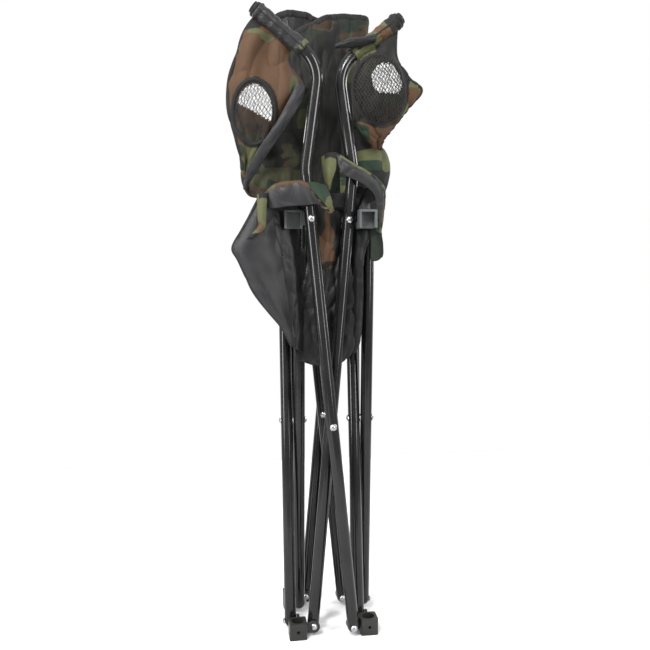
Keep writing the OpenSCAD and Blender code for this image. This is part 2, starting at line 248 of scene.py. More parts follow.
# A darker copy of the grey underside: painted shade, for underside cloth deep in the frame, in folds and behind the
# nets.
LINING_PAINTED_SHADE = plain_cloth("grey_underside_painted_shade", (0.0045, 0.0045, 0.005), roughness=0.36)
BINDING = plain_cloth("black_binding", (0.006, 0.006, 0.0065), roughness=0.75, pitch=0.002)
NET = plain_cloth("net_cord", (0.016, 0.015, 0.013), roughness=0.6)
PAINT = hard_surface("black_powder_coat", (0.0048, 0.0046, 0.0046), metallic=0.0, roughness=0.14,
                     grain=1400.0, depth=0.00002)
# One dark plastic in two tones: the hubs lighter as painted highlight, the feet darker as painted shade against the
# light the floor throws on them.
HUB_PLASTIC_PAINTED_LIGHT = hard_surface("moulded_plastic", (0.046, 0.049, 0.05), metallic=0.0, roughness=0.34,
                           grain=900.0, depth=0.0004)
FOOT_PLASTIC_PAINTED_SHADE = hard_surface("moulded_plastic_feet_painted_shade", (0.010, 0.010, 0.009), metallic=0.0, roughness=0.42,
                            grain=900.0, depth=0.0004)
ZINC = hard_surface("zinc_plate", (0.3, 0.305, 0.31), metallic=1.0, roughness=0.26, grain=700.0, depth=0.0002)

for node, obj in frame["nodes"].items():
    slot = next(s["material_slot"] for s in frame["record"]["subparts"] if s["node"] == node)
    # The hubs take the lighter tone and the feet the darker one: painted light and shade on one plastic.
    moulding = FOOT_PLASTIC_PAINTED_SHADE if node.startswith("foot_") else HUB_PLASTIC_PAINTED_LIGHT
    finish = {"tube_paint": PAINT, "plastic": moulding, "zinc": ZINC}.get(slot)
    if finish:
        for material_slot in obj.material_slots:
            material_slot.material = finish

# ---- making cloth ----

CLOTH_THICKNESS, TAPE_THICKNESS = 0.0011, 0.0032


def smooth_line(points, count):
    """A Catmull-Rom curve through the points, sampled evenly in its parameter."""
    points = np.asarray(points, float)
    ends = np.concatenate([[2 * points[0] - points[1]], points, [2 * points[-1] - points[-2]]])
    t = np.linspace(0, len(points) - 1 - 1e-9, count)
    i = t.astype(int)
    f = (t - i).reshape((-1,) + (1,) * (points.ndim - 1))
    a, b, c, d = ends[i], ends[i + 1], ends[i + 2], ends[i + 3]
    return 0.5 * (2 * b + (c - a) * f + (2 * a - 5 * b + 4 * c - d) * f ** 2 + (3 * b - a - 3 * c + d) * f ** 3)


def surface(rows, across, along):
    """A smooth grid (along, across, 3) in metres through rows of control points in millimetres."""
    rows = np.array(rows, float) * MM
    wide = np.stack([smooth_line(row, across) for row in rows])
    return smooth_line(wide, along)


def cumulative(grid, axis):
    steps = np.linalg.norm(np.diff(grid, axis=axis), axis=2)
    zero = np.zeros_like(np.take(steps, [0], axis=axis))
    return np.concatenate([zero, np.cumsum(steps, axis=axis)], axis=axis)


def grid_normals(grid):
    du, dv = np.gradient(grid, axis=1), np.gradient(grid, axis=0)
    n = np.cross(du, dv)
    return n / np.maximum(np.linalg.norm(n, axis=2, keepdims=True), 1e-12)


def wrinkle(grid, depth, size, stretch, seed, hold=()):
    """Moves a grid along its normals by soft ridges and sharper creases. hold names the edges that stay put."""
    u, v = cumulative(grid, 1), cumulative(grid, 0)
    heights = np.zeros(u.shape)
    for index in np.ndindex(u.shape):
        at = Vector((u[index] * stretch[0] / size + seed, v[index] * stretch[1] / size - seed, seed))
        ridge = 1 - 2 * abs(noise.noise(at))
        crease = 1 - 2 * abs(noise.noise(Vector((at.x * 1.9 + at.y * 0.8, at.y * 1.4, seed + 7))))
        heights[index] = 0.5 * ridge ** 3 + 0.3 * noise.noise(at * 2.3) + 0.28 * crease ** 5 - 0.28
    rows, columns = np.linspace(0, 1, u.shape[0])[:, None], np.linspace(0, 1, u.shape[1])[None, :]
    reach = {"start": rows, "end": 1 - rows, "left": columns, "right": 1 - columns}
    for edge in hold:
        heights = heights * np.clip(reach[edge] * 6, 0, 1)
    return grid + grid_normals(grid) * (heights * depth)[..., None]


def baked(obj):
    """Replaces an object by a plain mesh with its modifiers applied."""
    graph = bpy.context.evaluated_depsgraph_get()
    mesh = bpy.data.meshes.new_from_object(obj.evaluated_get(graph))
    name = obj.name
    bpy.data.objects.remove(obj)
    mesh.name = name
    result = bpy.data.objects.new(name, mesh)
    bpy.context.collection.objects.link(result)
    return result


# What a spot of each colour does to the brown, green and black blotches.
SPOT_EFFECT = {"base": (-1, -1, -1), "brown": (1, -1, -1), "green": (0, 1, -1), "black": (0, 0, 1)}


def add_spots(mesh, grid, spots):
    """Stores where the print is pushed to a colour. A spot is (colour, x, z, reach in x, reach in z).

    It is full within half of its reach, and gone at 1.75 times its reach. Some spots are painted shade rather than
    print.
    """
    x, z = grid[..., 0].ravel() / MM, grid[..., 2].ravel() / MM
    pushes = np.zeros((3, x.size))
    for colour, x0, z0, reach_x, reach_z in spots:
        near = np.clip(1.4 - 0.8 * np.hypot((x - x0) / reach_x, (z - z0) / reach_z), 0, 1)
        pushes = np.clip(pushes * (1 - near) + near * np.array(SPOT_EFFECT[colour])[:, None], -1, 1)
    for colour, push in zip(("brown", "green", "black"), pushes):
        mesh.attributes.new(f"push_{colour}", "FLOAT", "POINT").data.foreach_set("value", push.astype(np.float32))


def grid_mesh(name, grid, skip=None):
    """A quad mesh over a grid, with UVs in metres along the cloth."""
    along, across = grid.shape[:2]
    u, v = cumulative(grid, 1), cumulative(grid, 0)
    u = u - u.mean(axis=1, keepdims=True) + u.mean()
    v = np.repeat(v.mean(axis=1, keepdims=True), across, axis=1)
    index = np.arange(along * across).reshape(along, across)
    faces = [(index[i, j], index[i, j + 1], index[i + 1, j + 1], index[i + 1, j])
             for i in range(along - 1) for j in range(across - 1) if skip is None or not skip[i, j]]
    mesh = bpy.data.meshes.new(name)
    mesh.from_pydata([tuple(p) for p in grid.reshape(-1, 3)], [], [tuple(int(k) for k in f) for f in faces])
    layer = mesh.uv_layers.new(name="UVMap")
    flat_u, flat_v = u.ravel(), v.ravel()
    for loop in mesh.loops:
        layer.data[loop.index].uv = (flat_u[loop.vertex_index], flat_v[loop.vertex_index])
    return mesh


def link(name, mesh):
    obj = bpy.data.objects.new(name, mesh)
    bpy.context.collection.objects.link(obj)
    return obj


def cloth(name, grid, face, back, skip=None, dark=None, spots=()):
    """A thin sheet over a grid. The face looks along the grid's normal. The dark cells show shaded cloth.

    The thickness modifier gives the back the next material after the face's, and the rim the one after that.
    """
    obj = link(name, grid_mesh(name, grid, skip))
    materials = (face, back, BINDING, LINING_PAINTED_SHADE, CAMO_SHADE)
    # Dark cells get painted shade: slot 3 on the face and, through the thickness modifier, slot 4 on the back.
    face_slot, dark_slot = 0, 3
    if spots:
        add_spots(obj.data, grid, spots)
    if dark is not None:
        kept = dark.ravel() if skip is None else dark[~skip]
        for polygon, is_dark in zip(obj.data.polygons, kept):
            polygon.material_index = dark_slot if is_dark else face_slot
    for material in materials:
        obj.data.materials.append(material)
    solid = obj.modifiers.new("thickness", "SOLIDIFY")
    solid.thickness = CLOTH_THICKNESS
    solid.offset = -1
    solid.material_offset = 1
    solid.material_offset_rim = 2
    obj = baked(obj)
    obj.data.shade_smooth()
    return obj


def threads(name, lines, radius, material, closed=False, fine=False):
    """Round threads through lines of points, as one mesh. Fine threads have few sides and open ends."""
    curve = bpy.data.curves.new(name, "CURVE")
    curve.dimensions = "3D"
    curve.bevel_depth = radius
    curve.bevel_resolution = 0 if fine else 3
    curve.use_fill_caps = not fine
    for line in lines:
        spline = curve.splines.new("POLY")
        spline.points.add(len(line) - 1)
        for point, at in zip(spline.points, line):
            point.co = (*at, 1)
        spline.use_cyclic_u = closed
    obj = baked(link(name, curve))
    obj.data.materials.clear()
    obj.data.materials.append(material)
    if not fine:
        obj.data.shade_smooth()
    layer = obj.data.uv_layers.active or obj.data.uv_layers.new(name="UVMap")
    layer.name = "UVMap"
    return obj


# For each edge of a grid: the index of its points, and of the points beside them.
EDGES = {"left": (slice(None), 0, slice(None), 1), "right": (slice(None), -1, slice(None), -2),
         "start": (0, slice(None), 1, slice(None)), "end": (-1, slice(None), -2, slice(None))}


def tape(name, grid, edge, width, material):
    """A folded tape sewn over one edge of a grid. It stands a little out past the edge."""
    a, b, c, d = EDGES[edge]
    line, inner = grid[a, b], grid[c, d]
    inward = inner - line
    inward /= np.maximum(np.linalg.norm(inward, axis=1, keepdims=True), 1e-9)
    up = grid_normals(grid)[a, b]
    centre = line + inward * width * 0.42
    rings = np.stack([centre + inward * math.cos(t) * width / 2 + up * math.sin(t) * TAPE_THICKNESS / 2
                      for t in np.linspace(0, TURN, 13)], 1)
    obj = link(name, grid_mesh(name, rings))
    obj.data.materials.append(material)
    obj.data.shade_smooth()
    return obj


def sheet_piece(name, grid, face, back, move, slot, edges=(), skip=None, held="hung", rests=(), tape_width=0.010,
                hem=(), hem_material=CAMO, extra=(), dark=None, spots=()):
    """A sheet with its bound edges and printed hems, all moved alike. extra, the pieces that lie on it, is not used."""
    obj = cloth(name, grid, face, back, skip, dark, spots)
    tapes = [tape(f"{name}_binding_{edge}", grid, edge, tape_width, BINDING) for edge in edges]
    hems = [tape(f"{name}_hem_{edge}", grid, edge, tape_width, hem_material) for edge in hem]
    for piece in [obj, *tapes, *hems]:
        move(piece)
    return obj


def patch(name, rows, front, rear, move, slot, edges=(), *, depth, size, seed, cell=0.003, **options):
    """A sheet through rows of points from top to bottom, each from left to right as the chair's front shows it.

    Its grid cells are about as wide as cell. depth and size are those of its folds.
    """
    coarse = surface(rows, 24, 24)  # only to measure how many cells are needed
    across = int(cumulative(coarse, 1)[:, -1].max() / cell) + 4
    along = int(cumulative(coarse, 0)[-1].max() / cell) + 4
    grid = wrinkle(surface(rows, across, along), depth, size, stretch=(1.3, 0.8), seed=seed)
    sheet_piece(name, grid, rear, front, move, slot, edges, **options)


# How a piece moves: each of these three gives a function that is called with the piece.


def riding(body):
    return lambda obj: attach(obj, body)


def blending(a, b, start, end):
    return lambda obj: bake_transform(obj)


def flattening(body):
    def move(obj):
        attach(obj, body)
        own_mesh(obj)
    return move


# ---- the back panel, folded between its two posts ----

# The path of the folded strip's top edge from the left post to the right one: x, y and height.
BACK_PLAN = [(-45, 52, 1007), (0, 50, 1005), (32, 49, 1004), (39, 46, 1005), (32, 43, 1006),
             (0, 42, 1003), (-25, 40, 1011), (-50, 39, 1013), (-72, 38, 1007), (-80, 33, 993), (-74, 28, 981),
             (-50, 26, 975), (-20, 23, 988), (5, 21, 1000), (22, 22, 1003), (48, 24, 1006), (74, 30, 1007),
             (82, 42, 1003), (78, 54, 997), (69, 58, 995)]


def build_back():
    """One strip, folded twice between the posts. Its front layer passes before both of them."""
    front_y, half_width = 21, 88

    def row(z, width, sway):
        return [(x * width + sway * math.sin(k * 1.7), y + 2 * math.sin(k + z), top - (BACK_TOP - z))
                for k, (x, y, top) in enumerate(BACK_PLAN)]

    def drawn_in(z, width, start_y, spread):
        """A level row, narrower and with its layers closer together."""
        return [(x * width, start_y + (y - front_y) * spread, z) for x, y, _ in BACK_PLAN]

    rows = [row(BACK_TOP, 1, 0), row(950, 0.93, 3), row(880, 0.86, 4), row(800, 0.88, 4), row(740, 0.9, 3),
            drawn_in(702, 0.62, 24, 0.55)]
    rows += [drawn_in(z, (WELL - 2) / half_width, 26, 0.17) for z in (672, 620, 560, BACK_LOW)]
    grid = wrinkle(surface(rows, across=330, along=110), depth=0.006, size=0.055, stretch=(1.5, 0.8), seed=4.0,
                   hold=("left", "right", "end"))
    move = blending("rear_left", "back_edge", (-0.05, 0, 0.9), (0.05, 0, 0.9))
    # The black spots in the middle are painted shade; the brown, green and base spots are print.
    spots = [("brown", -12, 988, 26, 10), ("green", 46, 1000, 22, 10), ("black", 2, 905, 24, 44),
             ("black", 8, 825, 22, 44), ("green", -34, 850, 12, 30), ("base", -32, 832, 8, 14),
             ("black", -4, 760, 22, 18)]
    panel = sheet_piece("back_panel_cloth", grid, LINING_PAINTED_SHADE, CAMO_PAINTED_SHADE, move, "camo_cloth", ("start", "end"),
                        held="folded", rests=["post_left", "post_right"], tape_width=0.011, spots=spots)
    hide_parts("back_panel", "back_edge")


def build_back_folds():
    """The loops of the back panel that stand out on both sides above the hubs."""
    left = [[(-40, 30, 812), (-70, 8, 806), (-96, -4, 800), (-112, 4, 800), (-100, 22, 804)],
            [(-38, 26, 786), (-72, 0, 780), (-104, -10, 776), (-121, 2, 776), (-104, 26, 782)],
            [(-36, 20, 752), (-72, -8, 748), (-110, -12, 744), (-127, 4, 744), (-106, 28, 748)],
            [(-36, 16, 722), (-70, -12, 716), (-108, -12, 714), (-124, 4, 716), (-104, 26, 720)],
            [(-36, 14, 702), (-64, -10, 696), (-92, -10, 694), (-106, 2, 699), (-92, 22, 706)]]
    right = [[(30, 10, 816), (56, -6, 810), (74, -8, 800), (88, 6, 792), (82, 26, 796)],
             [(30, 8, 782), (58, -12, 778), (86, -12, 774), (102, 6, 776), (86, 28, 780)],
             [(28, 8, 756), (60, -14, 752), (92, -12, 750), (109, 6, 752), (90, 28, 756)],
             [(28, 10, 728), (58, -10, 722), (88, -8, 720), (103, 8, 722), (86, 26, 726)],
             [(28, 12, 706), (54, -6, 700), (76, -4, 698), (90, 8, 702), (78, 22, 708)]]
    left_spots = [("black", -99, 776, 26, 20), ("brown", -104, 786, 9, 8), ("base", -62, 736, 24, 8),
                  ("base", -108, 724, 10, 8)]
    right_spots = [("black", 56, 792, 44, 20), ("base", 76, 770, 20, 7), ("green", 66, 752, 22, 8),
                   ("black", 84, 736, 26, 12), ("base", 100, 760, 5, 12)]
    # The left fold takes the darkened copy of the print as painted shade, and the right fold takes the plain print.
    for side, rows, front, spots in (("left", left, CAMO_PAINTED_SHADE, left_spots), ("right", right, CAMO, right_spots)):
        sign = -1 if side == "left" else 1
        move = flattening(f"rear_{side}")
        rows = [row[::-1] for row in rows] if sign < 0 else rows
        patch(f"back_fold_{side}", rows, front, LINING, move, "camo_cloth", ("end",), depth=0.005, size=0.045,
              seed=3.0 + sign, tape_width=0.007, rests=[f"post_{side}"], spots=spots)


def build_post_sleeves():
    """The back's edges, sewn into tubes round the posts."""
    mean_radius, swell = 12.2, 1.1
    for side in ("left", "right"):
        node = f"back_sleeve_{side}"
        x, y, _ = middle(node) / MM
        low = box(node)[0][2] / MM
        rows = []
        for z in np.linspace(low + 2, BACK_TOP - 3, 9):
            r = mean_radius + swell * math.sin(z * 0.09 + x)
            rows.append([(x + r * math.cos(a), y + r * math.sin(a), z) for a in np.linspace(0, TURN, 17)])
        grid = wrinkle(surface(rows, across=49, along=90), depth=0.0016, size=0.03, stretch=(1, 1), seed=x)
        grid[:, -1] = grid[:, 0]
        sleeve = sheet_piece(f"post_sleeve_{side}", grid, CAMO, LINING, riding(f"rear_{side}"), "camo_cloth",
                             ("start", "end"), held="stretched", rests=[f"post_{side}"], tape_width=0.008)
        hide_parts(node)


# ---- the seat, hanging in two halves inside the folded frame ----


def zigzag(z, width, near, far, bow=0.0):
    """A level row through a pleated bundle from y = near to y = far. bow moves the middle of each layer."""
    layers = 5
    points = []
    for k in range(layers):
        y = near + (far - near) * k / (layers - 1)
        side = -1 if k % 2 == 0 else 1
        points += [(side * width, y + 1, z), (side * (width - 6), y - 0.5, z), (0, y + bow, z),
                   (-side * (width - 6), y, z), (-side * width, y + 1.5, z)]
    return points


def build_seat_half(half, face, back, slot, low, seed):
    """One pleated half of the seat, down to the height low. Its top spreads wide, out over the frame."""
    low_corner, high_corner = box(f"seat_{half}")
    near, far, top = low_corner[1] / MM, high_corner[1] / MM, high_corner[2] / MM
    out = 1 if half == "front" else -1
    near -= 1 if half == "front" else 0
    rows = [zigzag(top + 32, WELL + 22, near - 14 * out, far - 6 * out),
            zigzag(top + 13, WELL + 18, near - 10 * out, far - 3 * out),
            zigzag(top - 4, WELL + 2, near + 1, far - 1),
            zigzag(top - 60, WELL + 2, near, far - 2, bow=1),
            zigzag(top - 120, WELL + 2, near, far - 1, bow=-1),
            zigzag(top - 180, WELL + 1, near + 1, far - 2),
            zigzag(low, WELL - 7, near + 3, far - 4)]
    grid = surface(rows, across=230, along=70)
    # The lower end is rounded: its middle hangs lowest.
    grid[..., 2] -= (0.012 * np.cos(grid[..., 0] * 40) - 0.01) * np.linspace(0, 1, grid.shape[0])[:, None]
    grid = wrinkle(grid, depth=0.003, size=0.05, stretch=(1.6, 0.8), seed=seed, hold=("start",))
    y = (near + far) / 2 * MM
    move = blending(f"seat_{half}", f"seat_{half}_edge", (-0.042, y, 0.6), (0.042, y, 0.6))
    panel = sheet_piece(f"seat_{half}_cloth", grid, face, back, move, slot, ("start", "end"), held="folded",
                        rests=[f"hub_{half}_left", f"hub_{half}_right"], tape_width=0.009)
    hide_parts(f"seat_{half}", f"seat_{half}_edge")


def build_seat_flaps():
    """The seat's front corners, thrown over the hubs, and its sides, which hang outside the frame."""
    left_hub = flattening("front_left_hub")
    right_hub = flattening("front_right_hub")
    rest_left, rest_right = ["hub_front_left"], ["hub_front_right"]
    patch("seat_corner_left",
          [[(-103, -68, 699), (-91, -77, 710), (-74, -81, 716), (-48, -84, 717), (-36, -84, 711), (-19, -81, 690),
            (0, -77, 671)],
           [(-99, -70, 688), (-87, -79, 695), (-72, -83, 698), (-50, -86, 699), (-36, -86, 697), (-19, -83, 686),
            (0, -78, 670)],
           [(-94, -70, 676), (-83, -77, 677), (-69, -81, 679), (-51, -84, 680), (-36, -84, 681), (-20, -82, 682),
            (0, -78, 669)]],
          LINING, CAMO, left_hub, "lining", hem=("start",), hem_material=CAMO_BROWN, depth=0.003, size=0.03,
          seed=1.3, cell=0.0022, tape_width=0.008, rests=rest_left)
    patch("seat_corner_fold",
          [[(-42, -82, 715), (-24, -76, 715), (-7, -66, 712)],
           [(-30, -86, 700), (-17, -82, 702), (-3, -72, 698)],
           [(-14, -86, 684), (-7, -84, 685), (0, -76, 685)],
           [(-2, -80, 670), (-1, -80, 670), (1, -78, 671)]],
          CAMO, LINING, left_hub, "camo_cloth", depth=0.0025, size=0.03, seed=6.1, cell=0.0022, rests=rest_left,
          spots=[("green", -26, 702, 26, 18), ("base", -3, 682, 6, 10)])
    patch("seat_hem_left",
          [[(-113, -72, 697), (-106, -77, 699), (-98, -75, 700)],
           [(-113, -74, 680), (-106, -79, 680), (-100, -77, 678)],
           [(-113, -74, 664), (-107, -78, 663), (-101, -76, 661)],
           [(-112, -73, 650), (-107, -76, 649), (-102, -75, 648)],
           [(-130, -70, 630), (-124, -73, 632), (-118, -72, 634)]],
          CAMO, LINING, flattening("front_left_hub"), "camo_cloth",
          depth=0.001, size=0.02, seed=8.2, cell=0.002, rests=rest_left)
    patch("seat_side_left",
          [[(-112, -64, 694), (-106, -66, 693), (-100, -66, 691), (-93, -62, 689)],
           [(-125, -64, 669), (-113, -68, 669), (-102, -66, 668), (-89, -60, 668)],
           [(-139, -62, 644), (-119, -69, 643), (-101, -66, 640), (-83, -56, 638)],
           [(-153, -58, 618), (-131, -68, 616), (-106, -66, 613), (-75, -52, 610)],
           [(-144, -58, 598), (-124, -67, 591), (-99, -64, 585), (-72, -50, 579)],
           [(-124, -55, 555), (-105, -63, 552), (-87, -60, 548), (-67, -48, 544)],
           [(-98, -52, 519), (-86, -57, 516), (-75, -54, 513), (-64, -46, 510)],
           [(-78, -48, 493), (-72, -51, 490), (-66, -50, 485), (-61, -46, 479)],
           [(-62, -45, 465), (-60, -46, 464), (-59, -46, 463), (-58, -45, 461)]],
          LINING, CAMO, flattening("front_left_hub"), "lining", ("left",),
          depth=0.006, size=0.09, seed=2.4, tape_width=0.006, rests=rest_left)
    patch("seat_corner_right",
          [[(10, -58, 765), (36, -64, 748), (59, -66, 735), (81, -64, 718), (87, -60, 700), (85, -56, 669),
            (81, -54, 641)],
           [(9, -60, 761), (29, -67, 740), (54, -69, 726), (74, -68, 710), (80, -64, 690), (78, -60, 666),
            (77, -56, 642)],
           [(8, -58, 757), (21, -64, 731), (49, -66, 717), (67, -66, 701), (73, -62, 681), (72, -58, 662),
            (73, -56, 644)]],
          LINING, CAMO, right_hub, "lining", hem=("start",), depth=0.002, size=0.03, seed=4.3, cell=0.0022,
          tape_width=0.006, rests=rest_right)
    patch("seat_fold_right",
          [[(-12, -52, 758), (-2, -60, 764), (10, -60, 765)],
           [(-10, -54, 737), (-2, -62, 740), (9, -62, 740)],
           [(-6, -54, 720), (-2, -60, 721), (3, -60, 722)],
           [(-2, -54, 707), (-1, -56, 706), (0, -56, 707)]],
          CAMO, LINING, right_hub, "camo_cloth", depth=0.002, size=0.03, seed=9.2, cell=0.0022, rests=rest_right)
    patch("seat_side_right",
          [[(67, -44, 690), (76, -50, 688), (82, -50, 686)],
           [(67, -44, 646), (77, -52, 645), (83, -50, 644)],
           [(67, -44, 625), (78, -50, 624), (86, -48, 622)],
           [(67, -44, 604), (77, -48, 602), (86, -46, 606)],
           [(69, -44, 597), (74, -46, 598), (80, -45, 602)]],
          CAMO_PAINTED_SHADE, LINING, flattening("front_right_hub"), "camo_cloth",
          ("right",), depth=0.001, size=0.03, seed=5.2, cell=0.002, tape_width=0.005, rests=rest_right)
    patch("seat_lower_front",
          [[(-34, -27, 660), (-12, -28, 656), (12, -28, 656), (36, -27, 660)],
           [(-34, -32, 598), (-12, -33, 596), (12, -32, 596), (36, -32, 598)],
           [(-46, -35, 545), (-14, -34, 540), (14, -35, 542), (46, -35, 548)],
           [(-54, -34, 500), (-18, -35, 496), (16, -34, 498), (52, -34, 502)],
           [(-57, -34, 465), (-18, -35, 460), (16, -34, 460), (49, -34, 468)],
           [(-55, -34, 444), (-24, -34, 432), (12, -34, 432), (34, -34, 446)]],
          LINING_PAINTED_SHADE, CAMO, blending("seat_front", "seat_front_edge", (-0.042, -0.034, 0.5), (0.042, -0.034, 0.5)),
          "lining", ("end",), depth=0.006, size=0.035, seed=5.4, tape_width=0.005, rests=["seat_front_cloth"])
    patch("seat_inner_left",
          [[(-104, -54, 700), (-70, -36, 704), (-40, -30, 700)],
           [(-98, -54, 682), (-66, -38, 686), (-40, -30, 686)],
           [(-88, -54, 645), (-58, -41, 644), (-38, -30, 642)],
           [(-76, -52, 600), (-54, -45, 600), (-37, -32, 600)],
           [(-70, -49, 560), (-52, -45, 560), (-36, -32, 560)],
           [(-64, -46, 500), (-52, -44, 500), (-38, -33, 500)],
           [(-59, -45, 462), (-52, -43, 458), (-42, -34, 452)]],
          LINING_PAINTED_SHADE, CAMO_PAINTED_SHADE, flattening("front_left_hub"), "lining",
          depth=0.003, size=0.04, seed=3.9, rests=rest_left)
    patch("seat_inner_right",
          [[(38, -30, 716), (60, -38, 716), (88, -44, 712)],
           [(38, -30, 690), (60, -38, 690), (84, -48, 684)],
           [(37, -32, 642), (52, -40, 642), (68, -42, 640)],
           [(36, -32, 600), (46, -40, 600), (56, -42, 598)],
           [(36, -32, 550), (46, -41, 552), (55, -42, 552)],
           [(38, -33, 505), (46, -40, 505), (54, -40, 508)],
           [(38, -33, 470), (45, -37, 470), (51, -37, 474)],
           [(36, -33, 450), (41, -35, 450), (45, -35, 454)]],
          LINING_PAINTED_SHADE, CAMO_PAINTED_SHADE, flattening("front_right_hub"), "lining",
          depth=0.003, size=0.035, seed=2.9, rests=rest_right)
    # The fold's black spots are painted shade between its folds; its brown is print.
    patch("seat_fold_centre",
          [[(-24, -28, 700), (-10, -38, 704), (4, -34, 702), (18, -30, 700)],
           [(-25, -30, 670), (-10, -42, 672), (4, -34, 670), (18, -30, 670)],
           [(-22, -30, 635), (-6, -36, 632), (6, -42, 634), (19, -30, 636)],
           [(-20, -28, 604), (-8, -36, 600), (4, -38, 604), (15, -28, 606)],
           [(-12, -28, 578), (-5, -30, 574), (2, -30, 576), (8, -28, 580)]],
          CAMO_BROWN, LINING, flattening("front_left_hub"), "camo_cloth",
          depth=0.009, size=0.035, seed=7.7, cell=0.0022, rests=rest_left,
          spots=[("black", 14, 650, 9, 60), ("black", -4, 585, 20, 18), ("black", -14, 664, 7, 40)])


# ---- the arms ----

LEFT_ARM = [
    [(-112, -62, 968), (-94, -60, 957), (-80, -66, 946), (-66, -58, 936), (-54, -62, 926)],
    [(-130, -60, 944), (-112, -70, 932), (-94, -58, 925), (-78, -66, 917), (-61, -54, 909)],
    [(-144, -56, 909), (-122, -68, 900), (-98, -58, 896), (-74, -62, 892), (-52, -46, 888)],
    [(-157, -44, 866), (-128, -58, 862), (-100, -56, 859), (-66, -60, 858), (-39, -42, 862)],
    [(-155, -36, 827), (-128, -50, 827), (-100, -50, 826), (-80, -46, 827), (-62, -34, 829)],
    [(-144, -28, 790), (-130, -36, 789), (-114, -34, 788), (-102, -36, 786), (-91, -28, 787)],
    [(-137, -16, 756), (-131, -20, 756), (-125, -18, 757), (-120, -20, 757), (-114, -16, 758)],
    [(-132, -4, 724), (-129, -6, 724), (-126, -6, 724), (-123, -6, 724), (-120, -4, 725)],
    [(-120, 18, 706), (-118, 18, 707), (-115, 18, 708), (-112, 18, 709), (-109, 18, 710)],
    [(-84, 40, 712), (-81, 40, 713), (-78, 40, 714), (-75, 40, 715), (-72, 41, 716)]]
RIGHT_ARM = [
    [(51, -44, 926), (71, -46, 938), (92, -46, 953), (112, -46, 969)],
    [(42, -52, 898), (69, -58, 905), (92, -58, 918), (110, -48, 922)],
    [(36, -54, 862), (64, -62, 862), (97, -58, 872), (133, -42, 886)],
    [(38, -50, 832), (64, -58, 826), (98, -52, 836), (153, -34, 868)],
    [(44, -42, 808), (63, -46, 802), (88, -42, 806), (120, -32, 827)],
    [(62, -30, 793), (72, -32, 790), (82, -28, 790), (94, -24, 791)],
    [(78, 0, 778), (83, 0, 775), (88, 2, 775), (93, 4, 778)],
    [(74, 22, 758), (78, 22, 756), (82, 23, 755), (86, 24, 756)],
    [(66, 40, 742), (69, 40, 740), (72, 41, 739), (75, 42, 741)]]
# Each cup: the ring's centre (x, z) and half axes, the pouch's depth and way, and the panel's own opening, as a test
# of x and z from the ring's centre.
CUPS = {"left": ((-115, 826), (33, 46), 24, (-0.55, 0.75, -0.2),
                 lambda x, z: (x / 28) ** 2 + (z / 40) ** 2 < 1 and z > -2 - 0.52 * x),
        "right": ((80, 864), (43, 52), 30, (0.1, -1.0, -0.1),
                  lambda x, z: ((x - 12) / 27) ** 2 + ((z - 14) / 27) ** 2 < 1 and z > -9 + 0.1 * x)}
# The spacing and the radius of each net's threads.
NETS = {"left": (0.0042, 0.00034), "right": (0.0038, 0.0005)}
# On the left arm, the green, black and base spots round z 930 to 950 are painted shade of the bar sleeve; the other
# spots are print.
ARM_SPOTS = {
    "left": [("brown", -98, 880, 60, 70), ("green", -100, 930, 7, 5), ("base", -94, 934, 9, 4),
             ("base", -54, 866, 8, 18), ("green", -48, 850, 8, 8), ("black", -58, 905, 5, 12),
             ("base", -120, 762, 26, 26), ("green", -136, 770, 8, 12), ("black", -120, 950, 14, 7),
             ("base", -112, 940, 10, 3)],
    "right": [("brown", 104, 808, 44, 26), ("brown", 138, 842, 16, 22), ("base", 62, 918, 14, 24),
              ("black", 100, 916, 22, 26), ("base", 124, 838, 6, 8), ("green", 52, 796, 14, 12),
              ("black", 60, 824, 18, 14)]}
# Where each arm's strap, fixed to the post, gives over to the panel on the arm bar.
ARM_BLEND = {"left": ((-0.118, 0.01, 0.735), (-0.12, -0.02, 0.775)),
             "right": ((0.08, 0.02, 0.76), (0.078, -0.03, 0.79))}


def cup_ring(grid, x, z, half_x, half_z):
    """A smooth ring of points on a grid, over an ellipse. x and z are the grid's, from the ellipse's centre."""
    count, nearest, passes = 64, 5, 6
    ring = []
    for turn in np.linspace(0, TURN, count + 1)[:-1]:
        away = np.hypot(x - half_x * math.cos(turn), z - half_z * math.sin(turn))
        ring.append(grid.reshape(-1, 3)[np.argsort(away, axis=None)[:nearest]].mean(0))
    ring = np.array(ring)
    for _ in range(passes):
        ring = (np.roll(ring, 1, 0) + 2 * ring + np.roll(ring, -1, 0)) / 4
    return ring


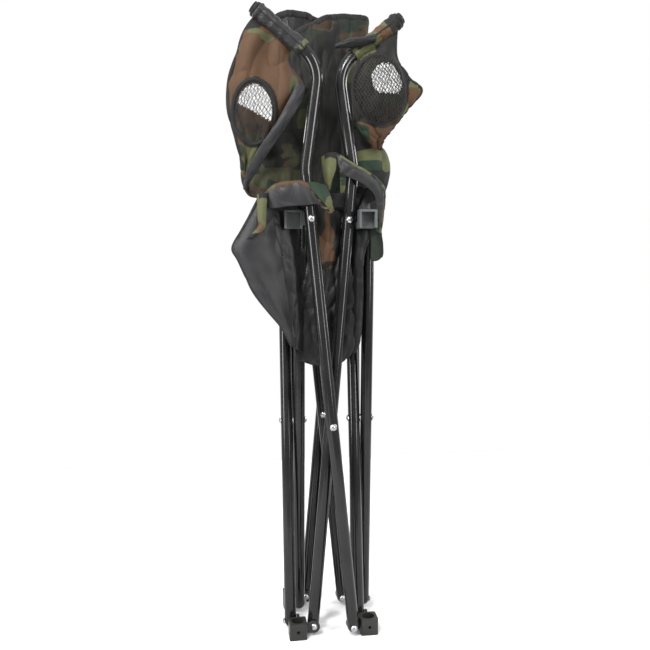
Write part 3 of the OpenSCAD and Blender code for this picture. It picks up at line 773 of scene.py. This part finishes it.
def build_arms():
    """The arm panels with their straps, and a bound ring and a two-layer net pouch in each."""
    ring_radius, mouth_deep, mouth_turn = 0.0036, 0.005, 0.3
    for side, rows, front, edges, seed in (("left", LEFT_ARM, CAMO_BROWN, ("left", "end"), 5.5),
                                           ("right", RIGHT_ARM, CAMO, ("left", "right", "end"), 2.2)):
        body, front_body = f"arm_{side}", f"arm_{side}_front"
        (x0, z0), (half_x, half_z), deep, way, is_open = CUPS[side]
        grid = wrinkle(surface(rows, across=80, along=130), depth=0.007, size=0.06, stretch=(1.4, 0.8), seed=seed,
                       hold=("start",))
        x, z = grid[..., 0] / MM - x0, grid[..., 2] / MM - z0
        inside = np.vectorize(is_open)(x, z)
        skip = inside[:-1, :-1] & inside[1:, 1:] & inside[1:, :-1] & inside[:-1, 1:]
        # The cloth behind the net lies in its shade.
        dark = ((x / (half_x * 1.12)) ** 2 + (z / (half_z * 1.1)) ** 2 < 1)[:-1, :-1]
        ring = cup_ring(grid, x, z, half_x, half_z)
        rim = threads(f"cup_rim_{side}_binding", [ring], ring_radius, BINDING, closed=True)
        pitch, wire = NETS[side]
        net = net_pouch(f"cup_net_{side}_mesh", ring, deep * MM, np.array(Vector(way).normalized()), pitch, wire)
        mouth = net_pouch(f"cup_net_{side}_mouth", ring, mouth_deep, np.array((0, -1, 0)), pitch * 1.3, wire,
                          mouth_turn)
        for piece, slot in ((rim, "piping"), (net, "net"), (mouth, "net")):
            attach(piece, front_body)
        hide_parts(f"cup_rim_{side}")
        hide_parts(f"cup_net_{side}")
        move = blending(body, front_body, *ARM_BLEND[side])
        panel = sheet_piece(f"arm_panel_{side}_cloth", grid, LINING, front, move, "camo_cloth", edges, skip=skip,
                            dark=dark, held="hung", rests=[f"bar_sleeve_{side}"], tape_width=0.007,
                            extra=(rim, net, mouth), spots=ARM_SPOTS[side])
        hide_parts(f"arm_panel_{side}", f"arm_strap_{side}")
    patch("arm_panel_left_band",
          [[(-49, -64, 868), (-40, -64, 865), (-31, -58, 861)],
           [(-70, -60, 829), (-62, -62, 827), (-53, -58, 825)],
           [(-84, -54, 806), (-76, -56, 804), (-67, -52, 803)],
           [(-98, -46, 787), (-90, -48, 785), (-81, -46, 784)],
           [(-112, -37, 767), (-104, -39, 765), (-95, -37, 764)],
           [(-125, -30, 745), (-117, -31, 743), (-109, -29, 742)],
           [(-132, -24, 724), (-128, -25, 723), (-123, -23, 722)],
           [(-132, -20, 712), (-130, -21, 711), (-127, -20, 711)]],
          LINING, CAMO, blending("arm_left", "arm_left_front", *ARM_BLEND["left"]), "lining",
          depth=0.0015, size=0.03, seed=6.6, cell=0.002, rests=["bar_sleeve_left"])


def net_pouch(name, ring, deep, way, pitch, wire, turn=0.0):
    """A net of two crossing families of threads that bulges from a ring along way, with uneven meshes.

    The pouch is worked out in the ring's plane as a unit disc. The threads lean to both sides of turn, in radians.
    """
    half_lean, uneven, swell, fullness = 0.95, 0.03, 0.10, 0.6
    centre = ring.mean(0)
    across = ring[0] - centre
    up = ring[len(ring) // 4] - centre
    radius = (np.linalg.norm(across) + np.linalg.norm(up)) / 2
    count = int(2 * radius / pitch)
    lines = []
    for lean in (half_lean + turn, turn - half_lean):
        for k in range(count):
            offset = -1 + (2 * k + 1) / count
            reach = math.sqrt(max(1 - offset ** 2, 0))
            steps = max(int(26 * reach), 4)
            line = []
            for i in range(steps + 1):
                s = reach * (2 * i / steps - 1)
                sway = uneven * reach * noise.noise(Vector((s * 9, offset * 9, lean * 5)))
                a = s * math.cos(lean) - (offset + sway) * math.sin(lean)
                b = s * math.sin(lean) + (offset + sway) * math.cos(lean)
                flat = min(math.hypot(a, b), 1.0)
                angle = math.atan2(b, a) / TURN % 1 * len(ring)
                j = int(angle) % len(ring)
                edge = ring[j] + (ring[(j + 1) % len(ring)] - ring[j]) * (angle - int(angle))
                bulge = (1 - flat ** 2) ** fullness * (1 + 0.25 * noise.noise(Vector((a * 4, b * 4, deep * 90))))
                line.append(centre + (edge - centre) * flat * (1 + swell * bulge) + way * deep * bulge)
            lines.append(line)
    return threads(name, lines, wire, NET, fine=True)


def build_bar_sleeves():
    """The crumpled cloth tubes round the two arm bars, each gathered to a knot at its outer end."""
    lean, length = math.radians(51.5), 0.093
    mean_radius, swell, flare, stations, last_share = 0.0109, 0.0006, 0.0008, 16, 0.35
    seam_column, seam_radius = 46, 0.0018
    loop_radius, loop_sway, knot_radius = 0.0085, 0.001, 0.0038
    rearward = np.array([0, 1, 0])
    for side, sign, body, outer, inner, slot in (("left", -1, "front_outer", LINING, CAMO, "lining"),
                                                 ("right", 1, "front_inner", CAMO, LINING, "camo_cloth")):
        plug = middle(f"arm_plug_{side}")
        end = np.array([plug[0], middle(f"bar_sleeve_{side}")[1], plug[2]])
        along = np.array([sign * math.sin(lean), 0, math.cos(lean)])
        side_way = np.cross(along, rearward)
        rows = []
        for k, s in enumerate(np.linspace(-0.002, 1.0, stations)):
            radius = mean_radius + swell * math.sin(k * 2.3) + (flare if k > stations - 3 else 0)
            radius *= last_share if k == stations - 1 else 1
            at = end - along * length * (1 - s)
            ring = []
            for turn in np.linspace(0, TURN, 13):
                push = radius * (1 + 0.05 * math.sin(2 * turn + k * 0.6))
                ring.append((at + (side_way * math.cos(turn) + rearward * math.sin(turn)) * push) / MM)
            ring[-1] = ring[0]
            rows.append(ring)
        grid = wrinkle(surface(rows, across=61, along=80), depth=0.0018, size=0.022, stretch=(1.5, 0.45),
                       seed=3.0 + sign)
        grid[:, -1] = grid[:, 0]
        sleeve = sheet_piece(f"bar_sleeve_{side}_cloth", grid, inner, outer, riding(body), slot, hem=("start",),
                             held="stretched", rests=[f"tube_{body}"], tape_width=0.009,
                             spots=[("brown", 84, 949, 14, 9), ("base", 64, 940, 12, 9)])
        seam = threads(f"bar_sleeve_{side}_seam", [grid[::3, seam_column]], seam_radius, BINDING)
        loop = [end - along * 0.002 + (side_way * math.cos(t) + rearward * math.sin(t))
                * (loop_radius + loop_sway * math.sin(3 * t)) for t in np.linspace(0, TURN, 25)[:-1]]
        knot = threads(f"bar_sleeve_{side}_knot", [loop], knot_radius, BINDING, closed=True)
        for piece in (seam, knot):
            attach(piece, body)
        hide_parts(f"bar_sleeve_{side}")
        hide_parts(f"arm_plug_{side}")
    patch("bar_sleeve_right_fold",
          [[(10, -56, 928), (29, -61, 936), (52, -63, 940), (73, -61, 946)],
           [(9, -58, 926), (29, -66, 930), (52, -68, 934), (73, -66, 939)],
           [(10, -56, 924), (29, -60, 924), (50, -62, 926), (71, -60, 933)]],
          LINING_PAINTED_SHADE, CAMO, riding("front_inner"), "lining", depth=0.002, size=0.03, seed=4.9, cell=0.002,
          rests=["bar_sleeve_right_cloth"])


# ---- camera, light and floor ----


def build_stage():
    """A pale floor, a world that is white towards +Y and up and greyer elsewhere, and five area lights."""
    half = 1.1  # half the floor's side
    floor = link("floor", bpy.data.meshes.new("floor"))
    floor.data.from_pydata([(-half, -half, 0), (half, -half, 0), (half, half, 0), (-half, half, 0)], [], [(0, 1, 2, 3)])
    material, _, shader = new_material("pale_floor")
    shader.inputs["Base Color"].default_value = (0.63, 0.63, 0.63, 1)
    shader.inputs["Roughness"].default_value = 0.9
    shader.inputs["Specular IOR Level"].default_value = 0.0
    floor.data.materials.append(material)
    world = bpy.data.worlds.new("studio")
    world.use_nodes = True
    tree = world.node_tree
    way = add(tree, "SeparateXYZ", Vector=add(tree, "TexCoord").outputs["Generated"])
    behind = calculate(tree, "MULTIPLY_ADD", way.outputs["Y"], 1.3, 0.5)
    above = calculate(tree, "MULTIPLY_ADD", way.outputs["Z"], 1.6, -0.1)
    bright = ramp(tree, calculate(tree, "MAXIMUM", behind, above), [(0.0, 0.62), (1.0, 1.0)])
    tree.links.new(bright, tree.nodes["Background"].inputs["Color"])
    tree.nodes["Background"].inputs["Strength"].default_value = 1.0
    bpy.context.scene.world = world
    target = Vector((0, 0, 0.6))
    for name, place, width, height, power in (
            ("key", (-0.9, -1.7, 2.3), 0.6, 0.6, 88),
            ("strip_left", (-1.45, -0.75, 1.05), 0.42, 1.8, 40), ("strip_right", (1.1, -1.3, 1.05), 0.24, 1.8, 26),
            ("rim_right", (1.5, 0.5, 1.2), 0.20, 1.5, 16), ("back", (-1.2, 1.9, 1.9), 1.0, 1.0, 26)):
        data = bpy.data.lights.new(name, "AREA")
        data.shape = "RECTANGLE"
        data.energy, data.size, data.size_y = power, width, height
        light = link(name, data)
        light.location = place
        light.rotation_mode = "QUATERNION"
        light.rotation_quaternion = (target - Vector(place)).to_track_quat("-Z", "Y")


def build_camera():
    """Looks at the chair's front from a little to the left and a little above."""
    azimuth, elevation, roll = math.radians(-7.94), math.radians(3.2), math.radians(0.46)
    distance, aim = 1.1823, Vector((-0.0014, 0, 0.4943))
    level = math.cos(elevation)
    back = Vector((math.sin(azimuth) * level, -math.cos(azimuth) * level, math.sin(elevation)))
    data = bpy.data.cameras.new("camera")
    data.sensor_width, data.lens = 36, 39.75
    camera = link("camera", data)
    camera.rotation_mode = "QUATERNION"
    camera.location = aim + back * distance
    turn = (-back).to_track_quat("-Z", "Y").to_matrix() @ Matrix.Rotation(-roll, 3, "Z")
    camera.rotation_quaternion = turn.to_quaternion()
    bpy.context.scene.camera = camera
    bpy.context.scene.view_settings.view_transform = "Standard"


build_camera()
build_stage()
build_back()
build_post_sleeves()
build_seat_half("front", CAMO, LINING_PAINTED_SHADE, "lining", 440, 2.0)
build_seat_half("rear", LINING_PAINTED_SHADE, CAMO, "camo_cloth", 446, 7.0)
build_back_folds()
build_seat_flaps()
build_arms()
build_bar_sleeves()
